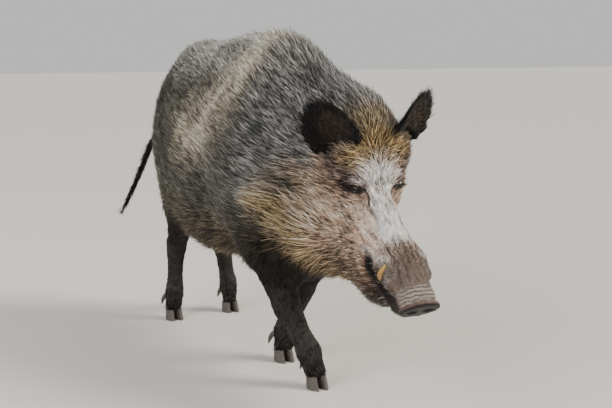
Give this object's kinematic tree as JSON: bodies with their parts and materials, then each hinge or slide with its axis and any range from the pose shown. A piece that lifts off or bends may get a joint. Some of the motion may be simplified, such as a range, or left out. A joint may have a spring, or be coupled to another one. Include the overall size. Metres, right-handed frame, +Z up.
{
  "type": "wild boar",
  "caption": "Life-size still wild boar: a bristly tusker in mid-step with its head lowered, ears pricked and tail swung to one side.",
  "frame": {"origin": "centre of the part's box at floor level, below the belly", "axes": "+X towards the snout, +Y towards the animal's left, +Z up from the floor"},
  "size_m": [1.4488, 0.416, 0.8924],
  "materials": {
    "coat": "coarse grey-brown bristles with pale tips",
    "face_coat": "short tan and grey hair",
    "dark_coat": "short blackish-brown hair",
    "bare_skin": "matte wrinkled skin",
    "horn": "dull grey horn with fine growth lines",
    "ivory": "stained, slightly polished",
    "eye": "wet and clear over a dark brown iris"
  },
  "bodies": {
    "root": {"dewclaw_fore_left_inner": "horn", "dewclaw_fore_left_outer": "horn", "dewclaw_fore_right_inner": "horn", "dewclaw_fore_right_outer": "horn", "dewclaw_hind_left_inner": "horn", "dewclaw_hind_left_outer": "horn", "dewclaw_hind_right_inner": "horn", "dewclaw_hind_right_outer": "horn", "ear_left": "dark_coat", "ear_right": "dark_coat", "eye_left": "eye", "eye_right": "eye", "head": "face_coat", "hoof_fore_left_inner": "horn", "hoof_fore_left_outer": "horn", "hoof_fore_right_inner": "horn", "hoof_fore_right_outer": "horn", "hoof_hind_left_inner": "horn", "hoof_hind_left_outer": "horn", "hoof_hind_right_inner": "horn", "hoof_hind_right_outer": "horn", "leg_fore_left": "dark_coat", "leg_fore_right": "dark_coat", "leg_hind_left": "dark_coat", "leg_hind_right": "dark_coat", "neck": "coat", "snout": "bare_skin", "tail": "dark_coat", "trunk": "coat", "tusk_left": "ivory", "tusk_right": "ivory"}
  },
  "joints": []
}
